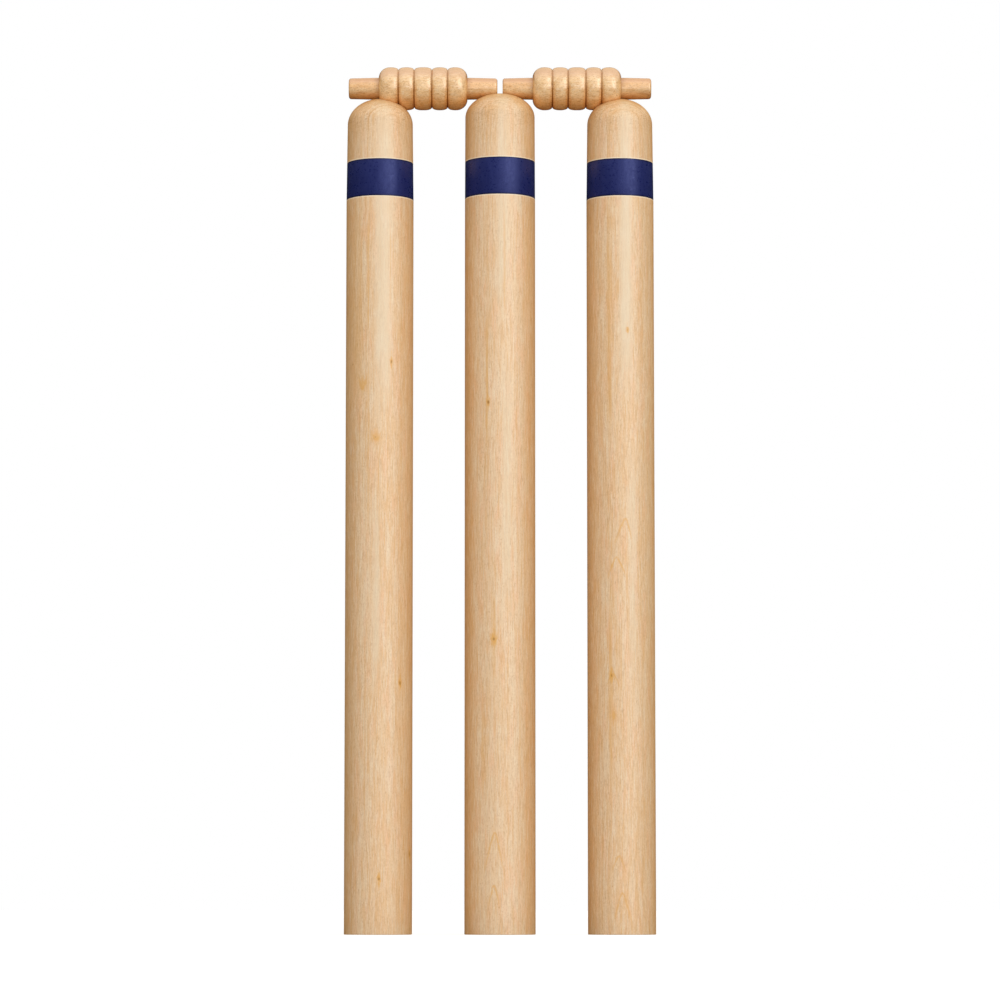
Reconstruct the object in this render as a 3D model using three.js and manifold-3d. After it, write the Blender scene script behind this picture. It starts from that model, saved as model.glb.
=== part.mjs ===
// A cricket wicket: three turned wooden stumps, a coloured band round the head of each,
// and two turned bails lying in grooves across the crowns.
// Millimetres. +Z is up, X runs along the wicket, and the origin is under the middle stump.

import * as THREE from "three";
import { mergeVertices } from "three/addons/utils/BufferGeometryUtils.js";
import Module from "manifold-3d";

// Wicket
const stumpSpacing = 89.35; // middle stump's axis to a side stump's axis
const bailEndGap = 3.9; // between the two bails, over the middle stump
const seatClearance = 0.3; // between a piece and the seat cut for it

// Stumps. The side stumps' height follows from the bails that lie on them.
const middleHeight = 624.2;
const middleDiameter = 52.2;
const middleHeadDiameter = 51.7; // where the dome springs
const middleDomeHeight = 18.0;
const sideDiameter = 49.9;
const sideHeadDiameter = 48.5;
const sideDomeHeight = 19.6;
const footBevel = 0.6;

// Grooves for the bails, measured down from each crown to the groove's floor
const middleGrooveDepth = 4.3;
const sideGrooveDepth = 0.3;

// Bands
const bandHeight = 27.9;
const bandThickness = 1.0;
const middleBandDrop = 51.8; // crown to the band's upper edge
const sideBandDrop = 48.8;

// Bails: a spigot, five beads and a spigot
const spigotLength = 22.4;
const spigotEndRadius = 7.75;
const spigotRootRadius = 8.2;
const spigotEdgeRound = 1.9;
const barrelRadius = 16.0;
const endBeadLength = 14.7;
const innerBeadLength = 11.75;
const centreBeadLength = 13.2;
const shoulderLength = 8.4; // rounding of the barrel's two ends
const beadEdgeLength = 5.2; // rounding of each bead beside a crease
const creaseDepth = 1.9;
const creaseWidth = 0.4; // flat floor of the crease between two beads

// Facets
const stumpSides = 48;
const bailSides = 28;
const domeSteps = 10;
const shoulderSteps = 5;
const edgeSteps = 4;

// Places that follow from the sizes
const bailAxisHeight = middleHeight - middleGrooveDepth + seatClearance + spigotRootRadius;
const sideHeight = bailAxisHeight - spigotRootRadius - seatClearance + sideGrooveDepth;
const barrelLength = 2 * endBeadLength + 2 * innerBeadLength + centreBeadLength;
const bailLength = barrelLength + 2 * spigotLength;
const bailCentre = bailEndGap / 2 + bailLength / 2;
const beadLengths = [
  endBeadLength,
  innerBeadLength,
  centreBeadLength,
  innerBeadLength,
  endBeadLength,
];

// A bead too short for its two roundings gets shorter ones that meet at its crest.
const beadEdge = Math.min(
  beadEdgeLength,
  (Math.min(innerBeadLength, centreBeadLength) - creaseWidth) / 2,
  endBeadLength - shoulderLength - creaseWidth / 2,
);

const middleStump = {
  height: middleHeight,
  radius: middleDiameter / 2,
  headRadius: middleHeadDiameter / 2,
  domeHeight: middleDomeHeight,
  bandTop: middleHeight - middleBandDrop,
};
const sideStump = {
  height: sideHeight,
  radius: sideDiameter / 2,
  headRadius: sideHeadDiameter / 2,
  domeHeight: sideDomeHeight,
  bandTop: sideHeight - sideBandDrop,
};

// Finishes
const stumpWood = new THREE.MeshStandardMaterial({ color: 0xe6c69f, roughness: 0.5, metalness: 0 });
const bailWood = new THREE.MeshStandardMaterial({ color: 0xdfb07c, roughness: 0.4, metalness: 0 });
const navyPaint = new THREE.MeshStandardMaterial({ color: 0x262c5e, roughness: 0.45, metalness: 0 });

const wasm = await Module();
wasm.setup();

// Profiles: a list of points (radius, height) that is revolved about the height's axis

// Quarter of an ellipse whose radius grows from inner to outer over a length, then runs along the axis.
function roundOut(profile, inner, outer, start, length, steps) {
  for (let i = 0; i <= steps; i++) {
    const angle = (i / steps) * (Math.PI / 2);
    const radius = inner + (outer - inner) * Math.sin(angle);
    profile.push(new THREE.Vector2(radius, start + length * (1 - Math.cos(angle))));
  }
}

// The same quarter turned round: it leaves along the axis and falls from outer to inner.
function roundIn(profile, inner, outer, start, length, steps) {
  for (let i = 0; i <= steps; i++) {
    const angle = (i / steps) * (Math.PI / 2);
    const radius = inner + (outer - inner) * Math.cos(angle);
    profile.push(new THREE.Vector2(radius, start + length * Math.sin(angle)));
  }
}

function revolve(profile, sides) {
  return new THREE.LatheGeometry(profile, sides);
}

// A revolved shape standing along +Z.
function turnedUpright(profile) {
  return revolve(profile, stumpSides).rotateX(Math.PI / 2);
}

// A revolved shape lying along +X.
function turnedAcross(profile) {
  return revolve(profile, bailSides).rotateZ(-Math.PI / 2);
}

// Booleans

function solidOf(geometry) {
  const plain = geometry.clone();
  plain.deleteAttribute("normal");
  plain.deleteAttribute("uv");
  const merged = mergeVertices(plain);
  return new wasm.Manifold(
    new wasm.Mesh({
      numProp: 3,
      vertProperties: merged.attributes.position.array,
      triVerts: new Uint32Array(merged.index.array),
    }),
  );
}

function geometryOf(solid) {
  const mesh = solid.getMesh();
  const geometry = new THREE.BufferGeometry();
  geometry.setAttribute("position", new THREE.BufferAttribute(mesh.vertProperties, 3));
  geometry.setIndex(new THREE.BufferAttribute(mesh.triVerts, 1));
  geometry.computeVertexNormals();
  return geometry;
}

// Bails

// One turned bail about its own middle: spigot, barrel of beads parted by creases, spigot.
function bailGeometry() {
  const creaseRadius = barrelRadius - creaseDepth;
  const profile = [new THREE.Vector2(0, -bailLength / 2)];
  const spigotEdgeRadius = spigotEndRadius - spigotEdgeRound;
  roundOut(profile, spigotEdgeRadius, spigotEndRadius, -bailLength / 2, spigotEdgeRound, edgeSteps);
  let start = -barrelLength / 2;
  beadLengths.forEach((length, i) => {
    const end = start + length;
    if (i === 0) {
      roundOut(profile, spigotRootRadius, barrelRadius, start, shoulderLength, shoulderSteps);
    } else {
      const foot = start + creaseWidth / 2;
      roundOut(profile, creaseRadius, barrelRadius, foot, beadEdge, edgeSteps);
    }
    if (i === beadLengths.length - 1) {
      const shoulder = end - shoulderLength;
      roundIn(profile, spigotRootRadius, barrelRadius, shoulder, shoulderLength, shoulderSteps);
    } else {
      const edge = end - creaseWidth / 2 - beadEdge;
      roundIn(profile, creaseRadius, barrelRadius, edge, beadEdge, edgeSteps);
    }
    start = end;
  });
  const lastEdge = bailLength / 2 - spigotEdgeRound;
  roundIn(profile, spigotEdgeRadius, spigotEndRadius, lastEdge, spigotEdgeRound, edgeSteps);
  profile.push(new THREE.Vector2(0, bailLength / 2));
  return turnedAcross(profile);
}

// The space that one end of a bail needs, as a cutter about the bail's axis with the bail's
// middle at zero: half the barrel, its shoulder, and the spigot carried on past its end.
function seatCutter(overrun) {
  const spigotSeat = spigotRootRadius + seatClearance;
  const barrelSeat = barrelRadius + seatClearance;
  const shoulder = barrelLength / 2 - shoulderLength;
  const seatShoulder = shoulderLength + seatClearance;
  const profile = [new THREE.Vector2(0, 0), new THREE.Vector2(barrelSeat, 0)];
  roundIn(profile, spigotSeat, barrelSeat, shoulder, seatShoulder, shoulderSteps);
  profile.push(new THREE.Vector2(spigotSeat, bailLength / 2 + overrun));
  profile.push(new THREE.Vector2(0, bailLength / 2 + overrun));
  return turnedAcross(profile);
}

// Stumps and bands

// The shank is straight up to the band and then draws in a little towards the dome.
function radiusAt(stump, height) {
  const taperStart = stump.bandTop - bandHeight;
  const taperEnd = stump.height - stump.domeHeight;
  const share = (height - taperStart) / (taperEnd - taperStart);
  return stump.radius + (stump.headRadius - stump.radius) * share;
}

function stumpProfile(stump) {
  const { radius, headRadius, height, domeHeight, bandTop } = stump;
  const bandFoot = bandTop - bandHeight;
  const seatDepth = bandThickness + seatClearance;
  const seatTop = bandTop + seatClearance;
  const profile = [
    new THREE.Vector2(0, 0),
    new THREE.Vector2(radius - footBevel, 0),
    new THREE.Vector2(radius, footBevel),
    new THREE.Vector2(radius, bandFoot),
    new THREE.Vector2(radius - seatDepth, bandFoot),
    new THREE.Vector2(radiusAt(stump, bandTop) - seatDepth, seatTop),
    new THREE.Vector2(radiusAt(stump, seatTop), seatTop),
  ];
  roundIn(profile, 0, headRadius, height - domeHeight, domeHeight, domeSteps);
  return profile;
}

// A turned stump whose crown is cut to seat the bail ends that lie on it.
function stumpGeometry(stump, cutters) {
  let solid = solidOf(turnedUpright(stumpProfile(stump)));
  for (const cutter of cutters) {
    solid = solid.subtract(solidOf(cutter));
  }
  return geometryOf(solid);
}

function bandGeometry(stump) {
  const top = stump.bandTop;
  const foot = top - bandHeight;
  const footRadius = radiusAt(stump, foot);
  const topRadius = radiusAt(stump, top);
  const profile = [
    new THREE.Vector2(footRadius - bandThickness, foot),
    new THREE.Vector2(footRadius, foot),
    new THREE.Vector2(topRadius, top),
    new THREE.Vector2(topRadius - bandThickness, top),
    new THREE.Vector2(footRadius - bandThickness, foot),
  ];
  return turnedUpright(profile);
}

function addMesh(group, name, geometry, material) {
  const mesh = new THREE.Mesh(geometry, material);
  mesh.name = name;
  group.add(mesh);
  return mesh;
}

// Middle stump, seating the inner ends of both bails
function middleGroup() {
  const group = new THREE.Group();
  const innerEnd = seatCutter(middleDiameter).rotateZ(Math.PI);
  const rightEnd = innerEnd.translate(bailCentre, 0, bailAxisHeight);
  const leftEnd = rightEnd.clone().rotateZ(Math.PI);
  addMesh(group, "middle_stump", stumpGeometry(middleStump, [rightEnd, leftEnd]), stumpWood);
  addMesh(group, "middle_band", bandGeometry(middleStump), navyPaint);
  return group;
}

// A side stump with its band and its bail, drawn as the right-hand one
function sideGroup(side) {
  const group = new THREE.Group();
  const outerEnd = seatCutter(sideDiameter).translate(bailCentre - stumpSpacing, 0, bailAxisHeight);
  addMesh(group, `${side}_stump`, stumpGeometry(sideStump, [outerEnd]), stumpWood);
  addMesh(group, `${side}_band`, bandGeometry(sideStump), navyPaint);
  const bail = addMesh(group, `${side}_bail`, bailGeometry(), bailWood);
  bail.position.set(bailCentre - stumpSpacing, 0, bailAxisHeight);
  group.position.x = stumpSpacing;
  return group;
}

const wicket = new THREE.Group();
wicket.add(middleGroup());
wicket.add(sideGroup("right"));

const leftHalf = new THREE.Group();
leftHalf.add(sideGroup("left"));
leftHalf.rotation.z = Math.PI;
wicket.add(leftHalf);

export default wicket;
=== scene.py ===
"""The looks of a cricket wicket: varnished stumps with navy bands, and two beaded bails."""

import math

import bpy
import mathutils
import numpy as np
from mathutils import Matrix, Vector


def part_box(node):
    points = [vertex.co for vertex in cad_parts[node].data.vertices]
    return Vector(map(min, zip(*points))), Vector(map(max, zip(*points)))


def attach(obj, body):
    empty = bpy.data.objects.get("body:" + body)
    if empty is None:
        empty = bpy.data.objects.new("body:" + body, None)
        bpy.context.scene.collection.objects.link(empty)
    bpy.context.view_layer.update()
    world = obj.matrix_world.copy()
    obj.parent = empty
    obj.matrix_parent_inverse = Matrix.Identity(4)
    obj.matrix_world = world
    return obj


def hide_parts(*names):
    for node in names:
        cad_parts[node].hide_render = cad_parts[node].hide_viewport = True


bl_info = {
    "name": "Cricket Wicket",
    "version": (1, 0, 0),
    "blender": (4, 5, 0),
    "location": "View3D > Sidebar > Wicket",
    "description": "Builds a turned wooden wicket with its bands, bails and a pale studio",
    "category": "Add Mesh",
}

MM = 0.001
WHITE = (1.0, 1.0, 1.0, 1.0)
SIDES = ("left", "middle", "right")
BAIL_SIDES = ("left", "right")

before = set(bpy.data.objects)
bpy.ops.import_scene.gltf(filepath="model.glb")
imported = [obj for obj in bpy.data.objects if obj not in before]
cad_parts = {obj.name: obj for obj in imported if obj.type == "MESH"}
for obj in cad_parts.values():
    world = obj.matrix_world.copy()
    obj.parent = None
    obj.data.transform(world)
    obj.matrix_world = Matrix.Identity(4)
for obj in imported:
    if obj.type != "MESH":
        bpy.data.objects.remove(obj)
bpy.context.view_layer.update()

IMAGE_SIZE_PX = 1000
SENSOR_MM = 36.0
CLIP_END = 100.0

# Azimuth from the camera's side to the right, and elevation, seen from the lamps' target
LAMP_TARGET = (0.0, 0.0, 0.62)
FILL_ANGLES = (math.radians(-8.0), math.radians(4.0))
RIM_ANGLES = (math.radians(135.0), math.radians(15.0))
TOP_ANGLES = (0.0, math.radians(68.0))

# The floor's own colour, and the glow with which it reads white in the camera
FLOOR_COLOUR = (0.45, 0.45, 0.45, 1.0)
FLOOR_GLOW = 0.74
SURROUND_COLOUR = (0.02, 0.02, 0.02, 1.0)
SURROUND_LIFT = 0.3 * MM

# Bluish tint of what the bands mirror
BAND_SHEEN = (0.42, 0.48, 1.0, 1.0)

# Pin knots in the photograph: column and row, then half width, half length and share of the
# orange flare, then the same of the brown heart, with widths and lengths in mm
KNOTS_PX = {
    "left": (
        (391.4, 361.8, 1.3, 5.0, 1.0, 0.7, 1.8, 0.9),
        (362.8, 384.0, 2.8, 6.5, 0.55, 0.5, 0.5, 0.0),
        (375.5, 437.0, 5.8, 5.2, 0.5, 0.6, 0.6, 0.7),
        (353.0, 364.5, 0.5, 0.7, 0.0, 0.6, 0.9, 0.5),
        (400.0, 683.0, 1.5, 5.5, 1.0, 0.75, 2.0, 0.9),
        (378.8, 879.0, 1.9, 5.0, 1.0, 1.1, 1.5, 0.8),
        (409.4, 854.0, 0.9, 5.0, 0.8, 0.6, 2.5, 0.6),
    ),
    "middle": (
        (488.3, 402.0, 1.8, 4.5, 0.8, 1.15, 1.8, 1.0),
        (493.8, 639.0, 3.4, 6.0, 0.9, 1.2, 1.5, 0.8),
    ),
    "right": (
        (627.6, 330.0, 1.7, 3.0, 0.8, 0.5, 0.8, 0.4),
        (611.6, 675.5, 2.8, 5.5, 0.95, 0.8, 1.4, 0.7),
        (613.8, 715.0, 2.4, 5.0, 0.7, 0.5, 0.5, 0.0),
    ),
}

# Arches of late wood: column and row of the crown, slope of the arms, how much steeper the right
# arm is, length in mm, share. Below zero the arms rise, as over a knot.
ARCH_ROUNDING = 1.5
ARCHES_PX = {
    "left": ((362.8, 389.0, -4.6, 0.0, -14.0, 0.55), (376.3, 440.0, -2.6, 0.0, -9.0, 0.5)),
    "middle": (
        (493.8, 643.0, -4.0, 0.0, -10.0, 0.45),
        (495.0, 833.0, 5.0, 0.6, 42.0, 0.6),
        (494.0, 886.5, 5.3, 0.0, 18.0, 0.65),
    ),
    "right": (
        (626.0, 519.0, 3.8, 1.0, 24.0, 0.6),
        (616.0, 557.5, 2.7, -0.4, 20.0, 0.65),
        (613.0, 674.0, 2.6, 0.0, 12.0, 0.5),
        (619.0, 856.0, 3.1, 0.0, 16.0, 0.55),
        (622.6, 893.5, 4.0, 0.0, 30.0, 0.6),
    ),
}

# Long orange streaks: column, top and bottom rows, half width in mm, share
STREAKS_PX = {
    "left": (
        (368.6, 196.0, 350.0, 1.0, 0.5),
        (357.0, 190.0, 430.0, 7.5, 0.2),
        (368.6, 340.0, 560.0, 1.0, 0.3),
        (390.5, 215.0, 330.0, 0.8, 0.3),
    ),
    "middle": (
        (487.0, 300.0, 455.0, 1.3, 0.4),
        (504.5, 196.0, 330.0, 1.2, 0.3),
        (493.5, 580.0, 690.0, 2.0, 0.25),
        (482.6, 690.0, 810.0, 1.4, 0.3),
        (520.0, 690.0, 800.0, 1.2, 0.3),
    ),
    "right": ((609.0, 196.0, 460.0, 2.6, 0.35), (610.5, 560.0, 830.0, 1.8, 0.35)),
}

# Long pale streaks, in the same order; they also paint in part of the highlight down each shank
PALE_STREAKS_AND_HIGHLIGHTS_PX = {
    "left": ((384.0, 60.0, 440.0, 9.5, 0.55), (377.0, 480.0, 700.0, 4.0, 0.4)),
    "middle": ((503.0, 60.0, 330.0, 7.0, 0.4), (507.0, 340.0, 620.0, 5.0, 0.4)),
    "right": ((625.0, 60.0, 420.0, 7.0, 0.6), (632.0, 430.0, 700.0, 4.0, 0.35)),
}

# Where the rings' centre lies from each stump's axis, across and back, in mm
PITHS_MM = {"left": (-26.0, 64.0), "middle": (7.0, 78.0), "right": (-9.0, 70.0)}

BAIL_SEEDS = {"left": 3.7, "right": 11.2}
BAND_SEEDS = {"left": 0.0, "middle": 5.3, "right": 9.1}


class StumpSizes(bpy.types.PropertyGroup):
    """Sizes of the turned stumps that the frame's boxes don't give"""

    side_head: bpy.props.FloatProperty(
        name="Side head",
        description="Diameter of a side stump where its dome springs",
        default=48.5 * MM,
        unit="LENGTH",
    )
    middle_head: bpy.props.FloatProperty(
        name="Middle head",
        description="Diameter of the middle stump where its dome springs",
        default=51.7 * MM,
        unit="LENGTH",
    )
    side_dome: bpy.props.FloatProperty(
        name="Side dome",
        description="Height of a side stump's dome",
        default=19.6 * MM,
        unit="LENGTH",
    )
    middle_dome: bpy.props.FloatProperty(
        name="Middle dome",
        description="Height of the middle stump's dome",
        default=18.0 * MM,
        unit="LENGTH",
    )
    side_crown: bpy.props.FloatProperty(
        name="Side crown",
        description="Height of a side stump's crown before its seat is cut",
        default=620.2 * MM,
        unit="LENGTH",
    )
    middle_crown: bpy.props.FloatProperty(
        name="Middle crown",
        description="Height of the middle stump's crown before its groove is cut",
        default=624.2 * MM,
        unit="LENGTH",
    )
    foot_bevel: bpy.props.FloatProperty(
        name="Foot bevel",
        description="Rounding of the edge round the foot",
        default=0.6 * MM,
        unit="LENGTH",
    )
    seat_gap: bpy.props.FloatProperty(
        name="Seat gap",
        description="Clearance between a bail and the seat cut for it",
        default=0.2 * MM,
        unit="LENGTH",
    )
    lip_rounding: bpy.props.FloatProperty(
        name="Lip rounding",
        description="How softly the dome turns into a bail's seat",
        default=0.5 * MM,
        unit="LENGTH",
    )
    band_depth: bpy.props.FloatProperty(
        name="Band depth",
        description="Thickness of the band let into the stump",
        default=0.9 * MM,
        unit="LENGTH",
    )


class BailSizes(bpy.types.PropertyGroup):
    """Sizes of the turned bails that the frame's boxes don't give"""

    spigot_length: bpy.props.FloatProperty(
        name="Spigot length",
        description="Length of the plain spigot at each end",
        default=22.4 * MM,
        unit="LENGTH",
    )
    spigot_end: bpy.props.FloatProperty(
        name="Spigot end radius",
        description="Radius of a spigot at its free end",
        default=7.75 * MM,
        unit="LENGTH",
    )
    spigot_root: bpy.props.FloatProperty(
        name="Spigot root radius",
        description="Radius of a spigot where it meets the barrel",
        default=8.2 * MM,
        unit="LENGTH",
    )
    spigot_rounding: bpy.props.FloatProperty(
        name="Spigot rounding",
        description="Rounding of a spigot's free end",
        default=1.9 * MM,
        unit="LENGTH",
    )
    end_bead: bpy.props.FloatProperty(
        name="End bead",
        description="Length of the beads at the two ends of the barrel",
        default=14.7 * MM,
        unit="LENGTH",
    )
    inner_bead: bpy.props.FloatProperty(
        name="Inner bead",
        description="Length of the beads beside the centre one",
        default=11.75 * MM,
        unit="LENGTH",
    )
    centre_bead: bpy.props.FloatProperty(
        name="Centre bead",
        description="Length of the centre bead",
        default=13.2 * MM,
        unit="LENGTH",
    )
    shoulder: bpy.props.FloatProperty(
        name="Shoulder",
        description="Length of the rounding at the barrel's two ends",
        default=8.4 * MM,
        unit="LENGTH",
    )
    bead_edge: bpy.props.FloatProperty(
        name="Bead edge",
        description="Length of the rounding beside each crease",
        default=5.2 * MM,
        unit="LENGTH",
    )
    crease_depth: bpy.props.FloatProperty(
        name="Crease depth",
        description="Depth of the creases between beads",
        default=1.9 * MM,
        unit="LENGTH",
    )
    crease_width: bpy.props.FloatProperty(
        name="Crease width",
        description="Width of a crease's floor",
        default=0.4 * MM,
        unit="LENGTH",
    )


class WoodColours(bpy.types.PropertyGroup):
    """Colours of the wood, its grain and the bands"""

    sapwood: bpy.props.FloatVectorProperty(
        name="Sapwood",
        description="Palest wood between the growth rings",
        default=(0.84, 0.645, 0.455),
        subtype="COLOR",
    )
    peach: bpy.props.FloatVectorProperty(
        name="Peach wood",
        description="Pinker patches in the pale wood",
        default=(0.87, 0.565, 0.37),
        subtype="COLOR",
    )
    ring: bpy.props.FloatVectorProperty(
        name="Growth ring",
        description="Late wood of the growth rings",
        default=(0.76, 0.44, 0.18),
        subtype="COLOR",
    )
    pale_fibre: bpy.props.FloatVectorProperty(
        name="Pale fibre",
        description="Fine pale fibres along the grain",
        default=(0.87, 0.755, 0.62),
        subtype="COLOR",
    )
    # Partly a painted highlight: the broad pale streaks lie along each shank's highlight
    pale_streak_and_highlight: bpy.props.FloatVectorProperty(
        name="Pale streak",
        description="Broad paler streaks down a shank",
        default=(0.78, 0.69, 0.56),
        subtype="COLOR",
    )
    # A pale hairline along the edges of the bands
    pale_hairline: bpy.props.FloatVectorProperty(
        name="Bare wood",
        description="Pale line left beside the bands",
        default=(0.95, 0.83, 0.72),
        subtype="COLOR",
    )
    fibre: bpy.props.FloatVectorProperty(
        name="Fibre",
        description="Fine brown fibres and flecks along the grain",
        default=(0.50, 0.25, 0.09),
        subtype="COLOR",
    )
    knot_flare: bpy.props.FloatVectorProperty(
        name="Knot flare",
        description="Orange wood round a pin knot and along an arch",
        default=(0.75, 0.40, 0.09),
        subtype="COLOR",
    )
    knot_heart: bpy.props.FloatVectorProperty(
        name="Knot heart",
        description="Brown heart of a pin knot",
        default=(0.42, 0.18, 0.02),
        subtype="COLOR",
    )
    # Painted shade: the darker orange laid down both flanks of each shank
    painted_flank_shade: bpy.props.FloatVectorProperty(
        name="Flank",
        description="Orange wood on the two flanks, where the rings are cut square",
        default=(0.66, 0.36, 0.13),
        subtype="COLOR",
    )
    # Painted shade: darkens the bails underneath, on the spigots' lower halves and low beside the
    # creases
    painted_shade: bpy.props.FloatVectorProperty(
        name="Gathered varnish",
        description="How the varnish gathered under the bails deepens the wood",
        default=(0.9, 0.67, 0.43),
        subtype="COLOR",
    )
    # Painted shade in the creases, at the spigots' roots and under the spigots
    crease: bpy.props.FloatVectorProperty(
        name="Crease",
        description="How the varnish gathered in the creases darkens the wood",
        default=(0.50, 0.35, 0.16),
        subtype="COLOR",
    )
    varnish: bpy.props.FloatVectorProperty(
        name="Varnish",
        description="Faint amber of the varnish on all the wood",
        default=(0.99, 0.945, 0.85),
        subtype="COLOR",
    )
    bail_wood: bpy.props.FloatVectorProperty(
        name="Bail wood",
        description="Warmer wood of the bails",
        default=(0.93, 0.665, 0.4),
        subtype="COLOR",
    )
    bail_ring: bpy.props.FloatVectorProperty(
        name="Bail ring",
        description="Darker wood in the bails",
        default=(0.60, 0.31, 0.11),
        subtype="COLOR",
    )
    # Painted shade that darkens the top of each bail
    painted_top_shade: bpy.props.FloatVectorProperty(
        name="Dulled varnish",
        description="The top of a bail, where handling has dulled it",
        default=(0.72, 0.46, 0.34),
        subtype="COLOR",
    )
    navy: bpy.props.FloatVectorProperty(
        name="Navy",
        description="Colour of the bands",
        default=(0.009, 0.014, 0.09),
        subtype="COLOR",
    )
    navy_light: bpy.props.FloatVectorProperty(
        name="Light navy",
        description="Paler navy where a band's colour is uneven",
        default=(0.02, 0.028, 0.13),
        subtype="COLOR",
    )
    # Painted shade along the edges of the bands
    navy_edge_shade: bpy.props.FloatVectorProperty(
        name="Navy edge",
        description="Dark line along the edges of the bands",
        default=(0.003, 0.004, 0.02),
        subtype="COLOR",
    )


class StudioSettings(bpy.types.PropertyGroup):
    """Camera and lamps"""

    distance: bpy.props.FloatProperty(
        name="Camera distance",
        description="From the camera to the plane of the wicket",
        default=3.0,
        unit="LENGTH",
    )
    height: bpy.props.FloatProperty(
        name="Camera height",
        description="Height of the camera above the floor",
        default=0.02,
        unit="LENGTH",
    )
    pitch: bpy.props.FloatProperty(
        name="Camera pitch",
        description="How far the camera looks up, from the rows of the feet and the bails",
        default=math.radians(5.704),
        subtype="ANGLE",
    )
    focal_px: bpy.props.FloatProperty(
        name="Focal length",
        description="Focal length in pixels of the photograph, from the wicket's width",
        default=4076.4,
        subtype="PIXEL",
    )
    key_power: bpy.props.FloatProperty(
        name="Key power",
        description="Power of the large lamp in front and to the right",
        default=170.0,
        unit="POWER",
    )
    key_azimuth: bpy.props.FloatProperty(
        name="Key azimuth",
        description="How far to the right of the camera the key lamp stands",
        default=math.radians(37.0),
        subtype="ANGLE",
    )
    key_elevation: bpy.props.FloatProperty(
        name="Key elevation",
        description="How high the key lamp stands, seen from the bails",
        default=math.radians(21.5),
        subtype="ANGLE",
    )
    fill_power: bpy.props.FloatProperty(
        name="Fill power",
        description="Power of the large lamp near the camera",
        default=122.0,
        unit="POWER",
    )
    rim_power: bpy.props.FloatProperty(
        name="Rim power",
        description="Power of the lamp behind and to the right",
        default=54.0,
        unit="POWER",
    )
    top_power: bpy.props.FloatProperty(
        name="Top power",
        description="Power of the small lamp above, which only the varnish mirrors",
        default=4.0,
        unit="POWER",
    )
    ambient: bpy.props.FloatProperty(
        name="Ambient",
        description="Strength of the even light from all round",
        default=0.66,
    )
    ambient_colour: bpy.props.FloatVectorProperty(
        name="Ambient colour",
        description="Slightly warm colour of the even light",
        default=(1.0, 0.95, 0.87),
        subtype="COLOR",
    )


# Meshes


def new_piece(name, vertices, faces, sharp_angle_deg=38.0):
    mesh = bpy.data.meshes.new(name)
    mesh.from_pydata([tuple(v) for v in vertices], [], faces)
    mesh.validate()
    mesh.shade_smooth()
    mesh.set_sharp_from_angle(angle=math.radians(sharp_angle_deg))
    piece = bpy.data.objects.new(name, mesh)
    bpy.context.scene.collection.objects.link(piece)
    return piece


def revolve(profile, sides, closed=False):
    """Vertices and faces of (radius, height) points turned about +Z. Points on the axis close the
    ends, or closed joins the last ring to the first."""
    angles = np.linspace(0.0, 2.0 * math.pi, sides, endpoint=False)
    circle = np.c_[np.cos(angles), np.sin(angles)]
    vertices, rings = [], []
    for radius, height in profile:
        start = len(vertices)
        if radius == 0.0:
            vertices.append((0.0, 0.0, height))
            rings.append([start] * sides)
        else:
            vertices.extend((radius * x, radius * y, height) for x, y in circle)
            rings.append(list(range(start, start + sides)))
    pairs = list(zip(rings, rings[1:]))
    if closed:
        pairs.append((rings[-1], rings[0]))
    faces = []
    for low, high in pairs:
        for i in range(sides):
            j = (i + 1) % sides
            corners = [low[i], low[j], high[j], high[i]]
            faces.append(tuple(dict.fromkeys(corners)))
    return np.array(vertices), faces


def rounding_out(inner, outer, start, length, steps):
    """Quarter of an ellipse whose radius grows from inner to outer and then runs along the axis."""
    turns = np.linspace(0.0, math.pi / 2, steps + 1)
    growth = outer - inner
    return [(inner + growth * math.sin(t), start + length * (1 - math.cos(t))) for t in turns]


def rounding_in(inner, outer, start, length, steps):
    """The same quarter turned round: it leaves along the axis and falls from outer to inner."""
    turns = np.linspace(0.0, math.pi / 2, steps + 1)
    growth = outer - inner
    return [(inner + growth * math.cos(t), start + length * math.sin(t)) for t in turns]


# Stumps


class Bail:
    """Where a bail lies and how thick it is, from its frame box and the bail sizes."""

    def __init__(self, side, sizes):
        low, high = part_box(f"{side}_bail")
        self.centre_x = (low.x + high.x) / 2
        self.axis_z = (low.z + high.z) / 2
        self.half_length = (high.x - low.x) / 2
        self.barrel_radius = (high.z - low.z) / 2
        self.half_barrel = self.half_length - sizes.spigot_length
        self.sizes = sizes

    def seat_radius(self, x, gap):
        """Radius at x of the seat that the bail needs: a smooth shoulder from spigot to barrel."""
        spigot = self.sizes.spigot_root + gap
        barrel = self.barrel_radius + gap
        into_shoulder = np.abs(x - self.centre_x) - (self.half_barrel - self.sizes.shoulder)
        share = np.clip(into_shoulder / (self.sizes.shoulder + gap), 0.0, 1.0)
        return spigot + (barrel - spigot) * np.sqrt(1.0 - share**2)


class Stump:
    """One stump's sizes, from its frame box, its band's box and the stump sizes."""

    def __init__(self, side, sizes):
        low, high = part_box(f"{side}_stump")
        band_low, band_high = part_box(f"{side}_band")
        middle = side == "middle"
        self.centre_x = (low.x + high.x) / 2
        self.radius = (high.x - low.x) / 2
        self.head_radius = (sizes.middle_head if middle else sizes.side_head) / 2
        self.dome = sizes.middle_dome if middle else sizes.side_dome
        self.crown = sizes.middle_crown if middle else sizes.side_crown
        self.band_low = band_low.z
        self.band_high = band_high.z

    def radius_at(self, height):
        """The shank is straight up to the band and then draws in a little towards the dome."""
        share = (height - self.band_low) / (self.crown - self.dome - self.band_low)
        return self.radius + (self.head_radius - self.radius) * max(share, 0.0)


def soft_lower(a, b, rounding):
    """The lower of two heights, with the meeting line rounded."""
    blend = np.clip(0.5 + 0.5 * (b - a) / rounding, 0.0, 1.0)
    return b + (a - b) * blend - rounding * blend * (1.0 - blend)


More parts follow.
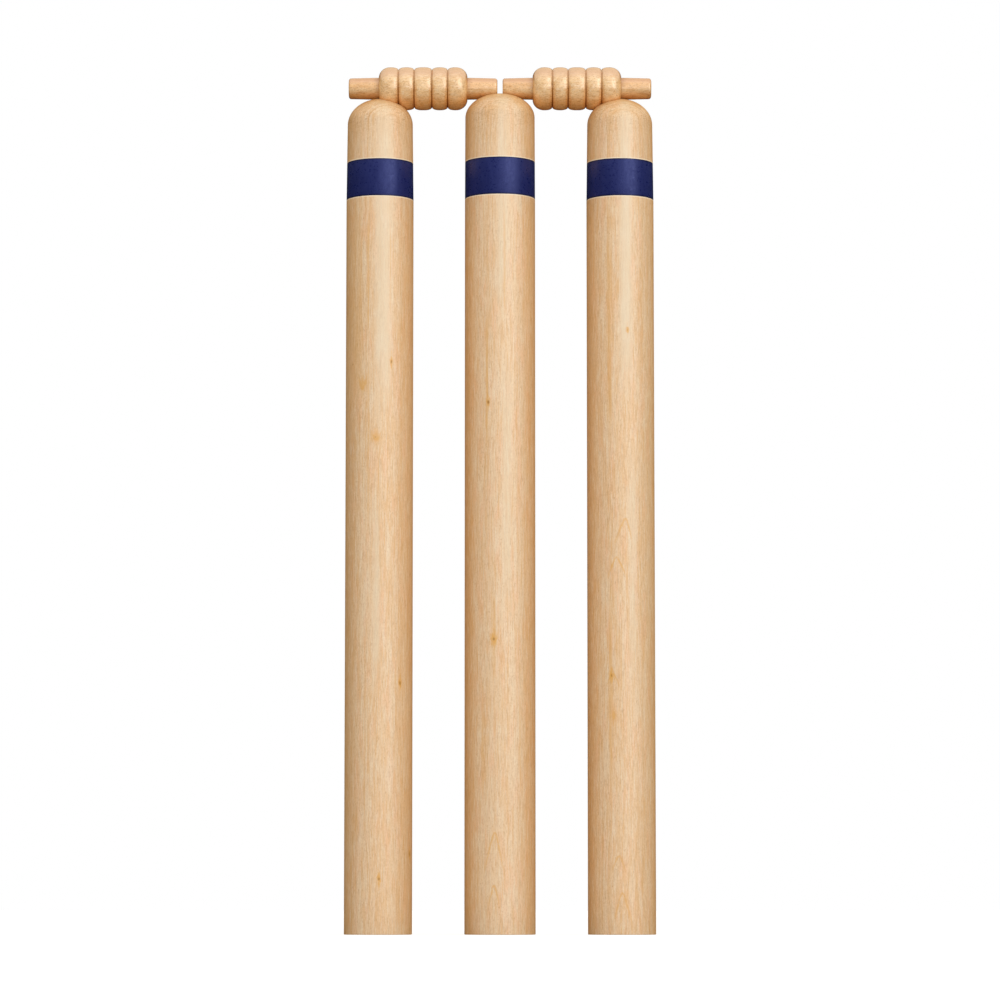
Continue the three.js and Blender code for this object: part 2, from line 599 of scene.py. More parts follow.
def stump_profile(stump, sizes, dome_steps=84, bevel_steps=5, shank_steps=24):
    depth = sizes.band_depth
    profile = [(0.0, 0.0), (stump.radius * 0.5, 0.0)]
    profile += rounding_out(
        stump.radius - sizes.foot_bevel, stump.radius, 0.0, sizes.foot_bevel, bevel_steps
    )
    for height in np.linspace(sizes.foot_bevel, stump.band_low, shank_steps)[1:]:
        profile.append((stump.radius, height))
    profile.append((stump.radius - depth, stump.band_low))
    profile.append((stump.radius_at(stump.band_high) - depth, stump.band_high))
    profile.append((stump.radius_at(stump.band_high), stump.band_high))
    spring = stump.crown - stump.dome
    profile += rounding_in(0.0, stump.head_radius, spring, stump.dome, dome_steps)[:-1]
    profile.append((0.0, stump.crown))
    return profile


def stump_piece(side, sizes, bails, sides=192):
    stump = Stump(side, sizes)
    vertices, faces = revolve(stump_profile(stump, sizes), sides)
    vertices[:, 0] += stump.centre_x
    on_dome = vertices[:, 2] > stump.crown - stump.dome
    x, y, z = vertices[on_dome].T
    for bail in bails:
        radius = bail.seat_radius(x, sizes.seat_gap)
        inside = np.abs(y) < radius
        floor = np.full_like(z, stump.crown + stump.dome)
        floor[inside] = bail.axis_z - np.sqrt(radius[inside] ** 2 - y[inside] ** 2)
        z = soft_lower(z, floor, sizes.lip_rounding)
    vertices[on_dome, 2] = z
    return new_piece(f"{side}_stump_turned", vertices, faces)


def band_piece(side, sizes, sides=192, edge=0.12 * MM, play=0.05 * MM, edge_steps=3):
    """A navy sleeve let in flush, with its two outer edges just broken."""
    stump = Stump(side, sizes)
    low, high = stump.band_low + play, stump.band_high - play
    foot, top = stump.radius, stump.radius_at(high)
    inner = foot - sizes.band_depth + play
    profile = [(inner, low)]
    profile += rounding_out(foot - edge, foot, low, edge, edge_steps)
    profile += rounding_in(top - edge, top, high - edge, edge, edge_steps)
    profile.append((inner, high))
    vertices, faces = revolve(profile, sides, closed=True)
    vertices[:, 0] += stump.centre_x
    return new_piece(f"{side}_band_sleeve", vertices, faces)


# Bails


def bail_profile(bail, sizes, shoulder_steps=20, edge_steps=9, end_steps=6, crown_steps=4):
    """Spigot, five beads and spigot along the bail's own axis, middle at zero."""
    beads = [sizes.end_bead, sizes.inner_bead, sizes.centre_bead, sizes.inner_bead, sizes.end_bead]
    crease = bail.barrel_radius - sizes.crease_depth
    edge = min(
        sizes.bead_edge,
        (min(sizes.inner_bead, sizes.centre_bead) - sizes.crease_width) / 2,
        sizes.end_bead - sizes.shoulder - sizes.crease_width / 2,
    )
    spigot_edge = sizes.spigot_end - sizes.spigot_rounding
    profile = [(0.0, -bail.half_length), (spigot_edge / 2, -bail.half_length)]
    profile += rounding_out(
        spigot_edge, sizes.spigot_end, -bail.half_length, sizes.spigot_rounding, end_steps
    )
    start = -sum(beads) / 2
    for i, length in enumerate(beads):
        end = start + length
        if i == 0:
            profile += rounding_out(
                sizes.spigot_root, bail.barrel_radius, start, sizes.shoulder, shoulder_steps
            )
        else:
            foot = start + sizes.crease_width / 2
            profile += rounding_out(crease, bail.barrel_radius, foot, edge, edge_steps)
        crown_start = profile[-1][1]
        last = i == len(beads) - 1
        crown_end = end - (sizes.shoulder if last else edge + sizes.crease_width / 2)
        for height in np.linspace(crown_start, crown_end, crown_steps)[1:-1]:
            profile.append((bail.barrel_radius, height))
        if last:
            profile += rounding_in(
                sizes.spigot_root, bail.barrel_radius, crown_end, sizes.shoulder, shoulder_steps
            )
        else:
            profile += rounding_in(crease, bail.barrel_radius, crown_end, edge, edge_steps)
        start = end
    end = bail.half_length - sizes.spigot_rounding
    profile += rounding_in(spigot_edge, sizes.spigot_end, end, sizes.spigot_rounding, end_steps)
    profile += [(spigot_edge / 2, bail.half_length), (0.0, bail.half_length)]
    return profile


def bail_piece(side, sizes, sides=144):
    bail = Bail(side, sizes)
    upright, faces = revolve(bail_profile(bail, sizes), sides)
    across, deep, along = upright.T
    vertices = np.c_[bail.centre_x + along, deep, bail.axis_z - across]
    return new_piece(f"{side}_bail_turned", vertices, faces)


# Materials


class Nodes:
    """A node tree, with one short call for each kind of node."""

    def __init__(self, tree):
        self.tree = tree

    def node(self, kind, **settings):
        made = self.tree.nodes.new(kind)
        for key, value in settings.items():
            setattr(made, key, value)
        return made

    def feed(self, socket, value):
        if isinstance(value, bpy.types.NodeSocket):
            self.tree.links.new(value, socket)
        elif value is not None:
            socket.default_value = value

    def set_inputs(self, made, **values):
        """Sets or links a node's inputs by their names, with _ for a space."""
        for key, value in values.items():
            self.feed(made.inputs[key.replace("_", " ")], value)

    def math(self, operation, a, b=None, c=None):
        made = self.node("ShaderNodeMath", operation=operation)
        for socket, value in zip(made.inputs, (a, b, c)):
            self.feed(socket, value)
        return made.outputs[0]

    def seen_directly(self):
        """1 where the camera, a mirror or clear glass sees it, 0 where it only gives light."""
        rays = self.node("ShaderNodeLightPath").outputs
        direct = rays["Is Camera Ray"]
        for ray in ("Is Glossy Ray", "Is Transmission Ray"):
            direct = self.math("MAXIMUM", direct, rays[ray])
        return direct


class Shader(Nodes):
    """A new material, whose colour is laid on in layers over a base."""

    def __init__(self, name, base=None, seed=0.0, grain_axis=2):
        self.material = bpy.data.materials.new(name)
        self.material.use_nodes = True
        super().__init__(self.material.node_tree)
        self.surface = self.tree.nodes["Principled BSDF"]
        self.base = base
        self.seed = seed
        self.grain_axis = grain_axis

    def vector(self, operation, a, b=None):
        made = self.node("ShaderNodeVectorMath", operation=operation)
        self.feed(made.inputs[0], a)
        self.feed(made.inputs[1], b)
        return made.outputs["Value" if operation == "LENGTH" else "Vector"]

    def object_place(self):
        """Where a point lies on the piece, in metres."""
        return self.node("ShaderNodeTexCoord").outputs["Object"]

    def apart(self, vector):
        """The X, Y and Z of a vector."""
        made = self.node("ShaderNodeSeparateXYZ")
        self.feed(made.inputs[0], vector)
        return made.outputs["X"], made.outputs["Y"], made.outputs["Z"]

    def off(self, a, b):
        """How far apart two numbers are."""
        return self.math("ABSOLUTE", self.math("SUBTRACT", a, b))

    def product(self, *values):
        result = values[0]
        for value in values[1:]:
            result = self.math("MULTIPLY", result, value)
        return result

    def between(self, value, low, high):
        """0 at low and beyond, 1 at high and beyond, with soft ends."""
        made = self.node("ShaderNodeMapRange", interpolation_type="SMOOTHSTEP")
        (start, first), (end, last) = sorted(((low, 0.0), (high, 1.0)))
        self.set_inputs(made, Value=value, From_Min=start, From_Max=end, To_Min=first, To_Max=last)
        return made.outputs["Result"]

    def noise(self, place, detail=2.0, roughness=0.5, kind="3D"):
        made = self.node("ShaderNodeTexNoise", noise_dimensions=kind)
        self.feed(made.inputs["W" if kind == "1D" else "Vector"], place)
        self.set_inputs(made, Scale=1.0, Detail=detail, Roughness=roughness)
        return made.outputs["Fac"]

    def streaky(self, place, across_mm, along_mm, shift, detail=2.0, roughness=0.5):
        """Noise in streaks of about that width and length, taken from elsewhere by the shift."""
        scale = [1 / (across_mm * MM)] * 3
        scale[self.grain_axis] = 1 / (along_mm * MM)
        counted = self.vector("MULTIPLY", place, scale)
        counted = self.vector("ADD", counted, [self.seed + shift] * 3)
        return self.noise(counted, detail, roughness)

    def grain(self, place, across_mm, along_mm, shift, low, high, detail=2.0, roughness=0.5):
        """Streaks of about that size, 0 where the noise is below low and 1 above high."""
        noise = self.streaky(place, across_mm, along_mm, shift, detail, roughness)
        return self.between(noise, low, high)

    def wander(self, place, across_mm, along_mm, shift, detail=2.0, roughness=0.5):
        """Noise about zero, in streaks of about that size."""
        noise = self.streaky(place, across_mm, along_mm, shift, detail, roughness)
        return self.math("SUBTRACT", noise, 0.5)

    def rings(self, from_pith, spacing_mm, low, high, detail=2.0, roughness=0.5):
        """Growth rings about that far apart, 0 where the noise is below low and 1 above high."""
        counted = self.math("DIVIDE", from_pith, spacing_mm)
        return self.between(self.noise(counted, detail, roughness, kind="1D"), low, high)

    def mix(self, share, a, b, blend="MIX"):
        made = self.node("ShaderNodeMix", data_type="RGBA", blend_type=blend)
        colours = [socket for socket in made.inputs if socket.type == "RGBA"]
        self.feed(made.inputs[0], share)
        for socket, value in zip(colours, (a, b)):
            plain = not isinstance(value, bpy.types.NodeSocket)
            self.feed(socket, (*value, 1.0) if plain else value)
        return [socket for socket in made.outputs if socket.type == "RGBA"][0]

    def layer(self, colour, share, *masks, blend="MIX"):
        """Lays a colour over the base, with a share that the masks cut down."""
        self.base = self.mix(self.product(*masks, share), self.base, colour, blend)

    def bump(self, height, strength, distance):
        made = self.node("ShaderNodeBump")
        self.set_inputs(made, Strength=strength, Distance=distance, Height=height)
        self.set_inputs(self.surface, Normal=made.outputs["Normal"])

    def finish(self, **values):
        self.set_inputs(self.surface, **{"Base_Color": self.base, **values})
        return self.material

    def varnish(self, tint, roughness, refraction, coat_roughness):
        """A hard gloss in the wood, under a thin tinted coat that hardly mirrors."""
        return self.finish(
            Roughness=roughness,
            IOR=refraction,
            Specular_IOR_Level=1.0,
            Coat_Weight=1.0,
            Coat_Roughness=coat_roughness,
            Coat_IOR=1.03,
            Coat_Tint=(*tint, 1.0),
        )


def photo_place(column, row, centre_x, radius, studio, rounds=4):
    """The x and z at which the camera sees that pixel on the front of an upright cylinder."""
    pitch = studio.pitch
    across = column - IMAGE_SIZE_PX / 2
    up = IMAGE_SIZE_PX / 2 - row
    forward = studio.focal_px * math.cos(pitch) - up * math.sin(pitch)
    rise = studio.focal_px * math.sin(pitch) + up * math.cos(pitch)
    x, y = centre_x, -radius
    for _ in range(rounds):
        reach = (studio.distance + y) / forward
        x = reach * across
        y = -math.sqrt(max(radius**2 - (x - centre_x) ** 2, 0.0))
    return x, studio.height + reach * rise


class StumpWood(Shader):
    """Pale varnished wood with rings round an off-centre pith, fibres, arches and pin knots."""

    def __init__(self, side, stump, colours, studio):
        pith_x, pith_y = PITHS_MM[side]
        super().__init__(f"{side}_stump_varnished", colours.sapwood, seed=pith_x)
        self.side, self.stump, self.colours, self.studio = side, stump, colours, studio
        self.place = self.object_place()
        self.x, y, self.z = self.apart(self.place)
        bend = self.node("ShaderNodeCombineXYZ")
        drift = self.wander(self.place, 14, 70, 0)
        self.feed(bend.inputs["X"], self.math("MULTIPLY", drift, 4 * MM))
        self.bent = self.vector("ADD", self.place, bend.outputs[0])
        pith = (stump.centre_x + pith_x * MM, pith_y * MM, 0.0)
        away = self.vector("SUBTRACT", self.bent, pith)
        level = self.vector("MULTIPLY", away, (1 / MM, 1 / MM, 0.0))
        self.from_pith = self.vector("LENGTH", level)
        self.narrow_ring = self.rings(self.from_pith, 1.8, 0.42, 0.75, 3.0, 0.6)
        self.wobble = self.wander(self.place, 1.8, 4.5, 0, 3.0, 0.6)
        self.front = self.between(y, -2 * MM, -8 * MM)

    def seen_at(self, column, row):
        """The x and z of a mark at that pixel of the photograph."""
        return photo_place(column, row, self.stump.centre_x, self.stump.radius, self.studio)

    def add_grain(self):
        """Rings, streaks and fibres all over, and painted shade down the two flanks."""
        colours, bent = self.colours, self.bent
        clear = self.grain(bent, 9, 60, 31, 0.38, 0.62)
        off_axis = self.off(self.x, self.stump.centre_x + 1.2 * MM)
        uneven = self.streaky(self.place, 9, 60, 19)
        off_axis = self.math("ADD", off_axis, self.math("MULTIPLY", uneven, 2.5 * MM))
        # Mask of the painted shade down both flanks
        painted_flank_shade = self.between(off_axis, self.stump.radius * 0.58, self.stump.radius * 1.06)

        # Patches and streaks, then threads, then fibres and ticks
        self.layer(colours.ring, 0.3, self.rings(self.from_pith, 7.0, 0.3, 0.72, 1.0))
        self.layer(colours.peach, 0.68, self.grain(bent, 6, 30, 3, 0.45, 0.68))
        self.layer(colours.pale_fibre, 0.42, self.grain(bent, 5, 26, 29, 0.45, 0.7))
        self.layer(colours.ring, 0.4, self.grain(bent, 2.2, 30, 5, 0.45, 0.72))
        self.layer(colours.ring, 0.5, self.narrow_ring, clear)
        self.layer(colours.ring, 0.45, self.grain(bent, 0.9, 60, 37, 0.55, 0.65))
        self.layer(colours.pale_fibre, 0.36, self.grain(bent, 1.1, 45, 43, 0.56, 0.66))
        self.layer(colours.painted_flank_shade, 0.48, painted_flank_shade)
        self.layer(colours.pale_fibre, 0.5, self.grain(bent, 0.8, 10, 11, 0.48, 0.68))
        self.layer(colours.fibre, 0.34, self.grain(bent, 0.7, 7, 7, 0.48, 0.7, 3.0, 0.6))
        self.layer(colours.fibre, 0.21, self.grain(self.place, 0.9, 1.5, 13, 0.35, 0.7, 2.0, 0.7))
        self.layer(colours.fibre, 0.48, self.grain(bent, 0.55, 2.6, 17, 0.64, 0.76, 1.0))

    def add_end_grain(self):
        """Finer rings, specks and the marks of turning on the head."""
        colours, stump = self.colours, self.stump
        head = self.between(self.z, stump.band_high + 8 * MM, stump.crown - 9 * MM)
        fine_ring = self.rings(self.from_pith, 0.9, 0.52, 0.7, 2.0, 0.6)
        speck = self.grain(self.place, 0.9, 1.6, 23, 0.56, 0.7, 2.0, 0.7)
        turned = self.grain(self.place, 3.5, 0.5, 53, 0.56, 0.66, 2.0, 0.6)
        self.layer(colours.ring, 0.1, head)
        self.layer(colours.ring, 0.5, self.narrow_ring, head)
        self.layer(colours.fibre, 0.3, fine_ring, head)
        self.layer(colours.fibre, 0.75, speck, head)
        self.layer(colours.fibre, 0.6, turned, head)

    def add_band_edges(self):
        """A pale hairline above and below the band."""
        middle = (self.stump.band_low + self.stump.band_high) / 2
        half = (self.stump.band_high - self.stump.band_low) / 2
        beside = self.between(self.off(self.z, middle), half + 0.95 * MM, half + 0.45 * MM)
        self.layer(self.colours.pale_hairline, 0.8, beside)

    def add_streaks(self):
        """Long pale and orange streaks down the shank, fading out at both ends; the pale ones are
        partly a painted highlight.
        """
        streaks = [(row, self.colours.pale_streak_and_highlight) for row in PALE_STREAKS_AND_HIGHLIGHTS_PX[self.side]]
        streaks += [(row, self.colours.knot_flare) for row in STREAKS_PX[self.side]]
        for (column, top, bottom, width_mm, share), colour in streaks:
            x, high = self.seen_at(column, top)
            low = self.seen_at(column, bottom)[1]
            away = self.off(self.x, x)
            away = self.math("ADD", away, self.math("MULTIPLY", self.wobble, 1.5 * MM))
            line = self.between(away, width_mm * MM, width_mm * 0.2 * MM)
            from_middle = self.off(self.z, (low + high) / 2)
            fade = self.between(from_middle, (high - low) / 2, (high - low) / 4)
            self.layer(colour, share, line, fade, self.front)

    def add_arches(self):
        """Each arch is a hyperbola: round at its crown and straight along its arms."""
        patchy = self.grain(self.place, 2.5, 3.5, 47, 0.2, 0.45)
        for column, row, slope, lean, length_mm, share in ARCHES_PX[self.side]:
            x, z = self.seen_at(column, row)
            from_crown = self.vector("SUBTRACT", self.place, (x, 0.0, z))
            across, _, up = self.apart(self.vector("DIVIDE", from_crown, (MM, MM, MM)))
            across = self.math("ADD", across, self.wobble)
            below = self.math("SUBTRACT", self.math("MULTIPLY", self.wobble, 3.0), up)
            spread = self.math("MULTIPLY_ADD", across, across, ARCH_ROUNDING**2)
            spread = self.math("SQRT", spread)
            bow = self.math("MULTIPLY", self.math("SUBTRACT", spread, ARCH_ROUNDING), slope)
            bow = self.math("MULTIPLY_ADD", across, lean, bow)
            fall = self.math("MULTIPLY_ADD", self.math("DIVIDE", across, spread), slope, lean)
            grade = self.math("SQRT", self.math("MULTIPLY_ADD", fall, fall, 1.0))
            away = self.math("DIVIDE", self.math("SUBTRACT", below, bow), grade)
            line = self.between(self.math("ABSOLUTE", away), 1.05, 0.1)
            fade = self.between(up, -length_mm, -length_mm * 0.2)
            self.layer(self.colours.knot_flare, share, line, fade, patchy, self.front)

    def add_knots(self):
        """Each pin knot is a brown heart in an orange flare that runs out along the grain."""
        flare_colour, heart_colour = self.colours.knot_flare, self.colours.knot_heart
        ragged = self.wander(self.place, 0.7, 3, 41, 3.0, 0.65)
        for column, row, width, length, flare, *heart in KNOTS_PX[self.side]:
            heart_width, heart_length, heart_share = heart
            x, z = self.seen_at(column, row)
            from_knot = self.vector("SUBTRACT", self.place, (x, 0.0, z))
            patches = (
                (width, length, flare_colour, flare, 2.2),
                (width * 0.4, length * 2.2, flare_colour, flare * 0.6, 2.2),
                (heart_width, heart_length, heart_colour, heart_share, 0.5),
            )
            for across_mm, along_mm, colour, share, raggedness in patches:
                scale = (1 / (across_mm * MM), 0.0, 1 / (along_mm * MM))
                reach = self.vector("LENGTH", self.vector("MULTIPLY", from_knot, scale))
                reach = self.math("MULTIPLY_ADD", ragged, raggedness, reach)
                self.layer(colour, share, self.between(reach, 1.1, 0.2), self.front)

    def varnished(self):
        """The finished material: the marks over the grain, and varnish over both."""
        self.add_grain()
        self.add_end_grain()
        self.add_band_edges()
        self.add_streaks()
        self.add_arches()
        self.add_knots()
        self.bump(self.streaky(self.bent, 0.6, 16, 5, 3.0), 0.12, 0.1 * MM)
        return self.varnish(self.colours.varnish, 0.5, 1.6, 0.4)


def bail_wood(side, bail, colours):
    """Warmer wood with its grain along the bail and brown flecks, with painted shade on the top,
    underneath, on the spigots and in and beside the creases.
    """
    name = f"{side}_bail_varnished"
    shader = Shader(name, colours.bail_wood, BAIL_SEEDS[side], grain_axis=0)
    place = shader.object_place()
    shader.layer(colours.bail_ring, 0.22, shader.grain(place, 6, 30, 0, 0.3, 0.7, 1.0))
    shader.layer(colours.bail_ring, 0.42, shader.grain(place, 1.3, 4.5, 5, 0.42, 0.7))
    shader.layer(colours.pale_fibre, 0.36, shader.grain(place, 1.0, 3.0, 7, 0.45, 0.72))
    shader.layer(colours.fibre, 0.58, shader.grain(place, 0.75, 1.2, 9, 0.52, 0.7, 2.0, 0.6))
    shader.layer(colours.fibre, 0.85, shader.grain(place, 0.6, 2.4, 11, 0.6, 0.74))

    # Facing is 1 on top of the bail and -1 underneath
    x, y, z = shader.apart(shader.vector("SUBTRACT", place, (bail.centre_x, 0.0, bail.axis_z)))
    radius = shader.math("SQRT", shader.math("ADD", shader.product(y, y), shader.product(z, z)))
    facing = shader.math("DIVIDE", z, radius)
    along = shader.math("ABSOLUTE", x)
    spigot = shader.between(radius, bail.barrel_radius * 0.75, bail.barrel_radius * 0.6)
    in_barrel = shader.between(along, bail.half_barrel - 6 * MM, bail.half_barrel - 9 * MM)
    torn = shader.wander(place, 0.8, 0.9, 13, 2.0, 0.6)
    depth = shader.math("SUBTRACT", bail.barrel_radius, radius)
    depth = shader.math("MULTIPLY_ADD", torn, 1.4 * MM, depth)

    # Painted shade over the top of the bail, a little stronger on the spigots
    top_shade_share = shader.math("MULTIPLY_ADD", spigot, 0.1, 0.65)
    shader.layer(colours.painted_top_shade, top_shade_share, shader.between(facing, 0.25, 0.65))
    # Painted shade on the spigots' lower halves, low beside the creases and underneath
    spigot_shade = shader.product(shader.between(facing, -0.4, 0.1), spigot, 0.45)
    beside = shader.product(shader.between(depth, 0.2 * MM, 0.7 * MM), in_barrel, 0.65)
    beside = shader.product(beside, shader.between(facing, 0.3, -0.3))
    under = shader.between(facing, -0.3, -0.85)
    for share in (spigot_shade, beside, under):
        shader.layer(colours.painted_shade, share, blend="MULTIPLY")

    # Painted shade in the creases, less towards the top, at the spigots' roots and under the
    # spigots
    crease = shader.product(shader.between(depth, 0.8 * MM, 1.8 * MM), in_barrel)
    crease = shader.product(crease, shader.between(facing, 1.5, -0.1))
    root = shader.between(along, bail.half_barrel + 5 * MM, bail.half_barrel)
    root = shader.product(root, spigot, 0.4)
    seated_shade = shader.product(shader.between(facing, 0.1, -1.0), spigot, 0.5)
    hollow_shade = shader.math("MAXIMUM", shader.math("MAXIMUM", crease, root), seated_shade)
    shader.layer(colours.crease, hollow_shade, blend="MULTIPLY")
    shader.bump(shader.streaky(place, 0.5, 3, 3, 3.0), 0.25, 0.15 * MM)
    return shader.varnish(colours.varnish, 0.2, 1.65, 0.3)


def band_paint(side, stump, colours):
    """Navy sleeve with a rubbed satin face, and painted shade along its two edges."""
    shader = Shader(f"{side}_band_navy", colours.navy, BAND_SEEDS[side])
    place = shader.object_place()
    uneven = shader.grain(place, 5, 9, 0, 0.3, 0.75, 3.0, 0.6)
    rubbed = shader.streaky(place, 2.2, 1.8, 3, 4.0, 0.7)
    middle = (stump.band_low + stump.band_high) / 2
    half = (stump.band_high - stump.band_low) / 2
    from_middle = shader.off(shader.apart(place)[2], middle)
    edge = shader.between(from_middle, half - 1.6 * MM, half - 0.6 * MM)
    shader.layer(colours.navy_light, 0.35, uneven)
    # Painted shade along the band's two edges
    shader.layer(colours.navy_edge_shade, 0.7, edge)
    shader.bump(rubbed, 0.6, 0.15 * MM)
    satin = shader.math("MULTIPLY_ADD", rubbed, 1.1, -0.17)
    return shader.finish(Roughness=satin, Specular_IOR_Level=0.75, Specular_Tint=BAND_SHEEN)


def dress(piece, material, body, node):
    """Puts the finish on a piece and hands it over to its body in the frame."""
    piece.data.materials.append(material)
    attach(piece, body)
    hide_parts(node)


# Operators


class WICKET_OT_stumps(bpy.types.Operator):
    """Turns the three stumps and cuts the bails' seats in their crowns"""

    bl_idname = "wicket.stumps"
    bl_label = "Stumps"
    bl_options = {"REGISTER", "UNDO"}

    def execute(self, context):
        scene = context.scene
        bails = {side: Bail(side, scene.bail_sizes) for side in BAIL_SIDES}
        for side in SIDES:
            resting = list(bails.values()) if side == "middle" else [bails[side]]
            piece = stump_piece(side, scene.stump_sizes, resting)
            stump = Stump(side, scene.stump_sizes)
            wood = StumpWood(side, stump, scene.wood_colours, scene.studio_settings)
            dress(piece, wood.varnished(), side, f"{side}_stump")
        return {"FINISHED"}


class WICKET_OT_bands(bpy.types.Operator):
    """Lets a navy band into each stump below its head"""

    bl_idname = "wicket.bands"
    bl_label = "Bands"
    bl_options = {"REGISTER", "UNDO"}

    def execute(self, context):
        scene = context.scene
        for side in SIDES:
            piece = band_piece(side, scene.stump_sizes)
            paint = band_paint(side, Stump(side, scene.stump_sizes), scene.wood_colours)
            dress(piece, paint, side, f"{side}_band")
        return {"FINISHED"}


class WICKET_OT_bails(bpy.types.Operator):
    """Turns the two beaded bails that lie across the stumps"""

    bl_idname = "wicket.bails"
    bl_label = "Bails"
    bl_options = {"REGISTER", "UNDO"}

    def execute(self, context):
        scene = context.scene
        for side in BAIL_SIDES:
            piece = bail_piece(side, scene.bail_sizes)
            bail = Bail(side, scene.bail_sizes)
            wood = bail_wood(side, bail, scene.wood_colours)
            dress(piece, wood, f"bail_{side}", f"{side}_bail")
        return {"FINISHED"}


def pale_floor(reach=20.0):
    """Pale floor that reads white in the camera and still shows the wicket's shadow."""
    corners = [(x * reach, y * reach, 0.0) for x, y in ((-1, -1), (1, -1), (1, 1), (-1, 1))]
    floor = new_piece("studio_floor", corners, [(0, 1, 2, 3)])
    shader = Shader("studio_floor")
    glow = shader.math("MULTIPLY", shader.seen_directly(), FLOOR_GLOW)
    shader.finish(Base_Color=FLOOR_COLOUR, Roughness=0.9)
    shader.finish(Emission_Color=WHITE, Emission_Strength=glow)
    floor.data.materials.append(shader.material)
    return floor


def dark_surround(radius=5.0, height=3.2, opening=(-3.0, 60.0), steps=60):
    """Curved wall and ground, open towards the key lamp, that only the varnish mirrors. The opening
    is in degrees from the camera's side to the right."""
    first, last = opening[1] - 90.0, opening[0] + 270.0
    vertices, faces = [], []
    for i, angle in enumerate(np.radians(np.linspace(first, last, steps + 1))):
        x, y = radius * math.cos(angle), radius * math.sin(angle)
        vertices += [(x, y, SURROUND_LIFT), (x, y, height)]
        if i:
            faces.append((2 * i - 2, 2 * i, 2 * i + 1, 2 * i - 1))
    faces.append(tuple(range(0, len(vertices), 2)))
    surround = new_piece("studio_surround", vertices, faces)
    shader = Shader("studio_surround")
    shader.finish(Base_Color=SURROUND_COLOUR, Roughness=1.0, Specular_IOR_Level=0.0)
    surround.data.materials.append(shader.material)
    surround.visible_camera = False
    surround.visible_diffuse = False
    surround.visible_shadow = False
    return surround


def studio_world(settings):
    """White behind the wicket, and an even plainer light from all round."""
    world = bpy.data.worlds.new("studio")
    world.use_nodes = True
    nodes = Nodes(world.node_tree)
    direct = nodes.seen_directly()
    light = world.node_tree.nodes["Background"]
    nodes.set_inputs(light, Color=(*settings.ambient_colour, 1.0), Strength=settings.ambient)
    white = nodes.node("ShaderNodeBackground")
    nodes.set_inputs(white, Color=WHITE)
    shown = nodes.node("ShaderNodeMixShader")
    for socket, source in zip(shown.inputs, (direct, light.outputs[0], white.outputs[0])):
        nodes.feed(socket, source)
    nodes.set_inputs(world.node_tree.nodes["World Output"], Surface=shown.outputs[0])
    return world


def lamp(name, angles, distance, size, power):
    """A soft lamp turned to the bails. Its angles are the azimuth, from the camera's side to the
    right, and the elevation."""
    light = bpy.data.lights.new(name, "AREA")
    light.shape = "RECTANGLE"
    light.size, light.size_y = size
    light.energy = power
    placed = bpy.data.objects.new(name, light)
    azimuth, elevation = angles
    level = distance * math.cos(elevation)
    away = mathutils.Vector(
        (level * math.sin(azimuth), -level * math.cos(azimuth), distance * math.sin(elevation))
    )
    placed.location = mathutils.Vector(LAMP_TARGET) + away
    placed.rotation_euler = (-away).to_track_quat("-Z", "Y").to_euler()
    placed.visible_camera = False
    bpy.context.scene.collection.objects.link(placed)
    return placed


def set_lamps(settings):
    """Key, fill and rim light the wood. The varnish mirrors only the key lamp and the one above."""
    key_angles = (settings.key_azimuth, settings.key_elevation)
    lamp("key", key_angles, distance=7.0, size=(4.6, 7.2), power=settings.key_power)
    fill = lamp("fill", FILL_ANGLES, distance=6.0, size=(5.0, 2.0), power=settings.fill_power)
    rim = lamp("rim", RIM_ANGLES, distance=5.0, size=(3.0, 3.0), power=settings.rim_power)
    top = lamp("top", TOP_ANGLES, distance=3.0, size=(1.6, 1.6), power=settings.top_power)
    fill.visible_glossy = False
    rim.visible_glossy = False
    top.visible_diffuse = False


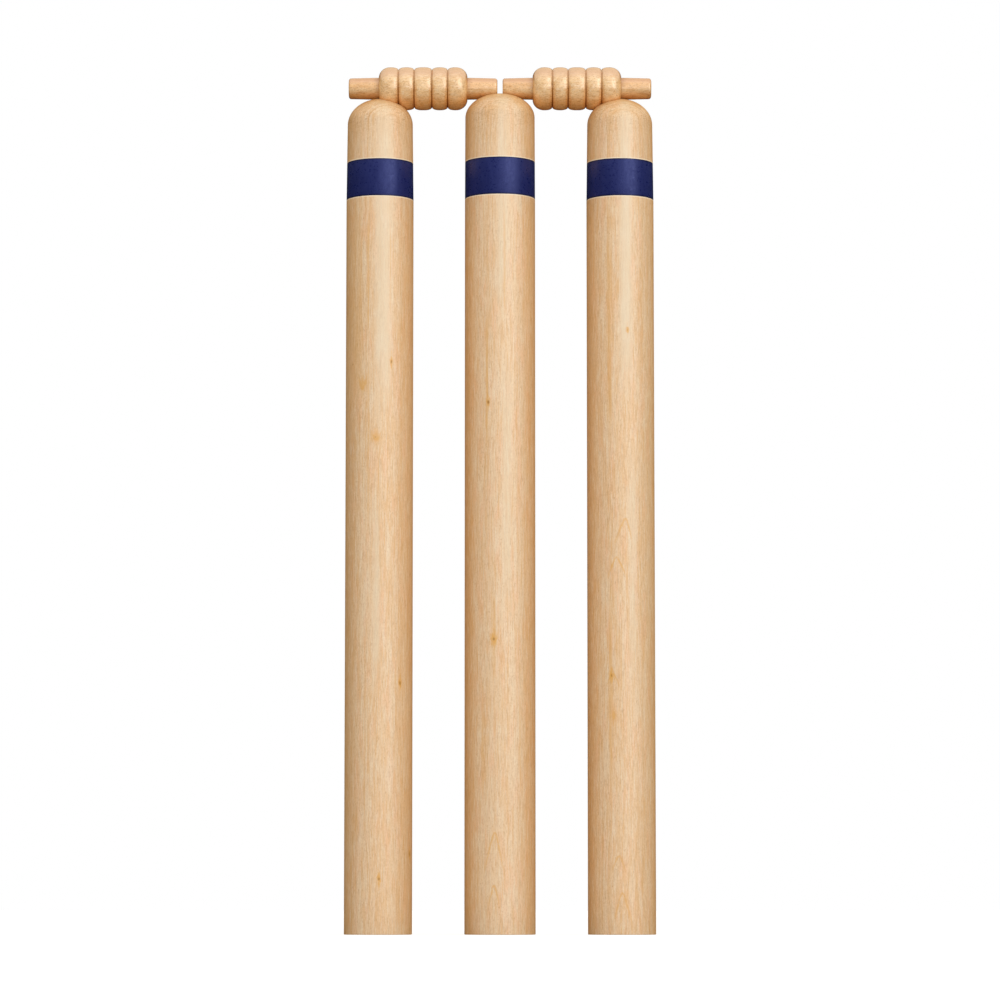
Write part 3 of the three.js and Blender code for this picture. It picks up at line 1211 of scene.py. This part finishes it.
def set_camera(settings):
    """Puts the camera where the photograph was taken from."""
    camera = bpy.data.cameras.new("camera")
    camera.sensor_width = SENSOR_MM
    camera.lens = settings.focal_px / IMAGE_SIZE_PX * SENSOR_MM
    camera.clip_end = CLIP_END
    viewer = bpy.data.objects.new("camera", camera)
    viewer.location = (0.0, -settings.distance, settings.height)
    viewer.rotation_euler = (math.pi / 2 + settings.pitch, 0.0, 0.0)
    bpy.context.scene.collection.objects.link(viewer)
    bpy.context.scene.camera = viewer


class WICKET_OT_studio(bpy.types.Operator):
    """Sets the floor, the lamps, the white background and the camera"""

    bl_idname = "wicket.studio"
    bl_label = "Studio"
    bl_options = {"REGISTER", "UNDO"}

    def execute(self, context):
        scene = context.scene
        pale_floor()
        dark_surround()
        scene.world = studio_world(scene.studio_settings)
        set_lamps(scene.studio_settings)
        set_camera(scene.studio_settings)
        scene.view_settings.view_transform = "Standard"
        return {"FINISHED"}


class WICKET_PT_panel(bpy.types.Panel):
    """Lists the steps that build the wicket, with their sizes and colours"""

    bl_idname = "WICKET_PT_panel"
    bl_label = "Wicket"
    bl_space_type = "VIEW_3D"
    bl_region_type = "UI"
    bl_category = "Wicket"

    def draw(self, context):
        layout = self.layout
        for operator in OPERATORS:
            layout.operator(operator.bl_idname)
        for name, group in GROUPS.items():
            box = layout.box()
            box.label(text=group.__doc__)
            for key in group.__annotations__:
                box.prop(getattr(context.scene, name), key)


GROUPS = {
    "stump_sizes": StumpSizes,
    "bail_sizes": BailSizes,
    "wood_colours": WoodColours,
    "studio_settings": StudioSettings,
}
OPERATORS = (WICKET_OT_stumps, WICKET_OT_bands, WICKET_OT_bails, WICKET_OT_studio)


def register():
    for cls in (*GROUPS.values(), *OPERATORS, WICKET_PT_panel):
        bpy.utils.register_class(cls)
    for name, group in GROUPS.items():
        setattr(bpy.types.Scene, name, bpy.props.PointerProperty(type=group))


def unregister():
    for name in GROUPS:
        delattr(bpy.types.Scene, name)
    for cls in reversed((*GROUPS.values(), *OPERATORS, WICKET_PT_panel)):
        bpy.utils.unregister_class(cls)


def main():
    register()
    bpy.ops.wicket.studio()
    bpy.ops.wicket.stumps()
    bpy.ops.wicket.bands()
    bpy.ops.wicket.bails()


if __name__ == "__main__":
    main()
